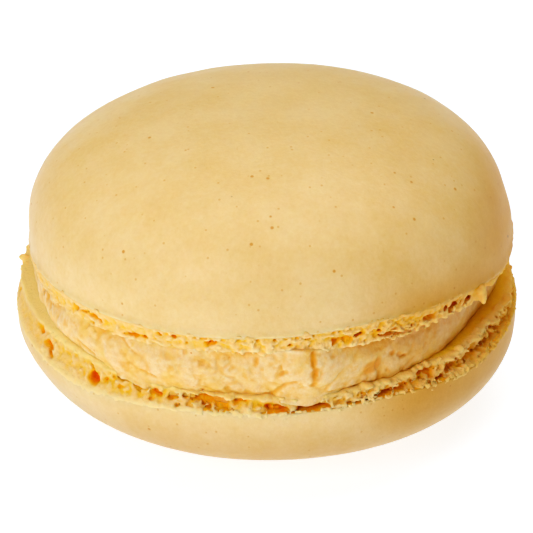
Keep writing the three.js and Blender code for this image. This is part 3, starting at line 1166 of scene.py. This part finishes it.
def ring_colours(ring, other, grid, placed):
    """Attributes for a foot or the cream: how deep in a crease each point is, which the materials colour as
    painted shade, and how much painted shade darkens it.
    """
    creased = 0.5 + 1.4 * (ring.fullness(other) - 0.5)
    # Painted shade on the feet and the cream, stronger at the far right.
    painted_shade = (0.52 + 0.33 * rise(17, 21, placed[:, 0])) * painted_shade_amount(placed)
    return {"depth": ring.read(creased + 0.35 * ring.tint, grid), "painted_shade": painted_shade}


def foot_colours(shell, points, attributes):
    """Adds attributes for a foot's ledge, whose own yellow deepens inwards as painted shade in the gap
    between the shells, and for its crust.
    """
    azimuth, radius, below = points[:, 0], points[:, 1], -points[:, 2]
    tall = shell["foot_height"]
    under_skin = below + edge_height(shell, azimuth)
    on_ledge = shell["turned_over"] * rise(tall - 0.35, tall - 0.1, below)
    dark_side = 1 - bell(between(azimuth, -70), 50)
    outward = radius - foot_wall(shell, azimuth, below)
    crust = shell["crust"] * (1 - 0.7 * goldenness(shell, azimuth)) * rise(-0.35, -0.15, outward)
    rim = openness(shell, azimuth) * rise(tall - 0.5, tall - 0.2, below)
    rim = rim * rise(-0.7, -0.3, outward)
    attributes["ledge"] = 0.9 * on_ledge
    # Painted shade: the ledge deepens to orange towards the cream, but not on the lit left side.
    attributes["inward"] = dark_side * (0.15 + (foot_wall(shell, azimuth, tall) - radius) / 2.8)
    attributes["crust"] = np.maximum(crust * (1 - rise(0.1, 0.6, under_skin)), 0.8 * rim)
    # Less painted shade on the ledge and on the rim flakes.
    attributes["painted_shade"] *= 1 - np.maximum(0.3 * on_ledge, 0.6 * rim)


def build_shell(name, shell, grooves, holes, place, beside, seed, materials):
    node = f"{name}_shell"
    points, faces = skin_mesh(shell, seed)
    reach = shell["edge_radius"] + lobed(shell["side_lobes"], points[:, 0]) - shell["lip"] - 0.04
    inside = (points[:, 1] < reach) & (points[:, 2] < edge_height(shell, points[:, 0]) + 0.2)
    placed = place(points)
    # Painted shade: the lower shell's underside, up to 10 mm above the floor, is greyed a little.
    under = 1 - rise(5, 10, placed[:, 2])
    attributes = {"painted_shade": painted_shade_amount(placed), "under": under, "inside": inside}
    make_piece(f"{name}_skin", placed, faces, node, materials[0], attributes)

    ring = foot_ring(shell, grooves, holes, seed + 20)
    points, faces, grid = ring.surface()
    placed = place(points)
    attributes = ring_colours(ring, beside(ring), grid, placed)
    foot_colours(shell, points, attributes)
    if shell["turned_over"]:
        faces = faces[:, ::-1]
    make_piece(f"{name}_foot", placed, faces, node, materials[1], attributes)


def build_cream():
    ring = cream_ring(CREAM_SEED)
    points, faces, grid = ring.surface()
    placed = place_cream(points)
    attributes = ring_colours(ring, beside_cream(ring), grid, placed)
    attributes["painted_crease_shade"] = ring.read(ring.tint, grid)
    make_piece("cream", placed, faces, "filling", cream_material(), attributes)


def build_macaron():
    materials = skin_material(), froth_material()
    lower = LOWER, LOWER_GROOVES, LOWER_HOLES, place_lower, beside_lower_foot, LOWER_SEED
    upper = UPPER, UPPER_GROOVES, [], place_upper, beside_upper_foot, UPPER_SEED
    build_shell("bottom", *lower, materials)
    build_shell("top", *upper, materials)
    build_cream()


# Floor, light and camera

# The camera was fitted to the outlines of both shells. Its focal length and centre are in pixels.
CAMERA_ELEVATION = 28.914
CAMERA_DISTANCE = 368.0
CAMERA_FOCAL = 4000.7
CAMERA_CENTRE = (268.75, 291.54)
PHOTO_SIZE = 533
SENSOR = 36.0

# The floor's side is in metres. The gap below the food keeps the two apart.
FLOOR_SIDE = 3.0
FLOOR_GAP = 0.02

# The height that the lights point at
LIT_HEIGHT = 12


def make_camera():
    data = bpy.data.cameras.new("camera")
    data.sensor_width = SENSOR
    data.lens = CAMERA_FOCAL * SENSOR / PHOTO_SIZE
    data.clip_start = 0.01
    data.clip_end = 10
    camera = add_object("camera", data)
    bpy.context.scene.camera = camera
    elevation = math.radians(CAMERA_ELEVATION)
    back = Vector((0, -math.cos(elevation), math.sin(elevation)))
    up = Vector((0, math.sin(elevation), math.cos(elevation)))
    right = Vector((1, 0, 0))
    target = Vector(AXIS) + Vector((0, 0, LOWER_EDGE))
    position = target + back * CAMERA_DISTANCE
    aside = (PHOTO_SIZE / 2 - CAMERA_CENTRE[0]) / CAMERA_FOCAL * CAMERA_DISTANCE
    below = (CAMERA_CENTRE[1] - PHOTO_SIZE / 2) / CAMERA_FOCAL * CAMERA_DISTANCE
    position += right * aside + up * below
    camera.location = position * MM
    camera.rotation_euler = (math.radians(90 - CAMERA_ELEVATION), 0, 0)


def make_floor():
    mesh = bpy.data.meshes.new("floor")
    side = FLOOR_SIDE / 2
    corners = [(-side, -side), (side, -side), (side, side), (-side, side)]
    mesh.from_pydata([(x, y, -FLOOR_GAP * MM) for x, y in corners], [], [(0, 1, 2, 3)])
    floor = add_object("floor", mesh)
    material, _, shader = node_tree("floor")
    values = {
        "Base Color": (0.42, 0.45, 0.52, 1),
        "Emission Color": (0.97, 1.0, 1.03, 1),
        "Emission Strength": 0.76,
        "Roughness": 0.9,
        "Specular IOR Level": 0.0,
    }
    for key, value in values.items():
        shader.inputs[key].default_value = value
    floor.data.materials.append(material)


def make_light(name, azimuth, elevation, distance, size, power, tint):
    """A round lamp that faces the food. Its distance and size are in metres."""
    data = bpy.data.lights.new(name, "AREA")
    data.shape = "DISK"
    data.size = size
    data.energy = power
    data.color = tint
    light = add_object(name, data)
    a, e = math.radians(azimuth), math.radians(elevation)
    away = Vector((math.sin(a) * math.cos(e), -math.cos(a) * math.cos(e), math.sin(e)))
    light.location = away * distance + Vector((0, 0, LIT_HEIGHT * MM))
    light.rotation_euler = away.to_track_quat("Z", "Y").to_euler()


# The picture's tones: shadows are pressed down a little, as in the photograph.
TONE = [(0.02, 0.004), (0.05, 0.02), (0.12, 0.075), (0.25, 0.215), (0.45, 0.44), (0.75, 0.76)]


def make_stage():
    make_floor()
    world = bpy.data.worlds.new("world")
    bpy.context.scene.world = world
    world.use_nodes = True
    background = world.node_tree.nodes["Background"]
    background.inputs["Color"].default_value = (1.0, 0.88, 0.66, 1)
    background.inputs["Strength"].default_value = 0.22
    make_light("key", -34, 28, 0.6, 0.3, 1.42, (0.97, 1.0, 1.08))
    make_light("fill", -80, 52, 0.7, 0.6, 0.46, (1.0, 0.98, 0.92))
    make_light("overhead", 138, 74, 0.6, 0.6, 1.9, (1.0, 1.0, 1.0))
    view = bpy.context.scene.view_settings
    view.view_transform = "Standard"
    view.use_curve_mapping = True
    curve = view.curve_mapping.curves[3]
    for at, value in TONE:
        curve.points.new(at, value)
    view.curve_mapping.update()


make_stage()
make_camera()
build_macaron()
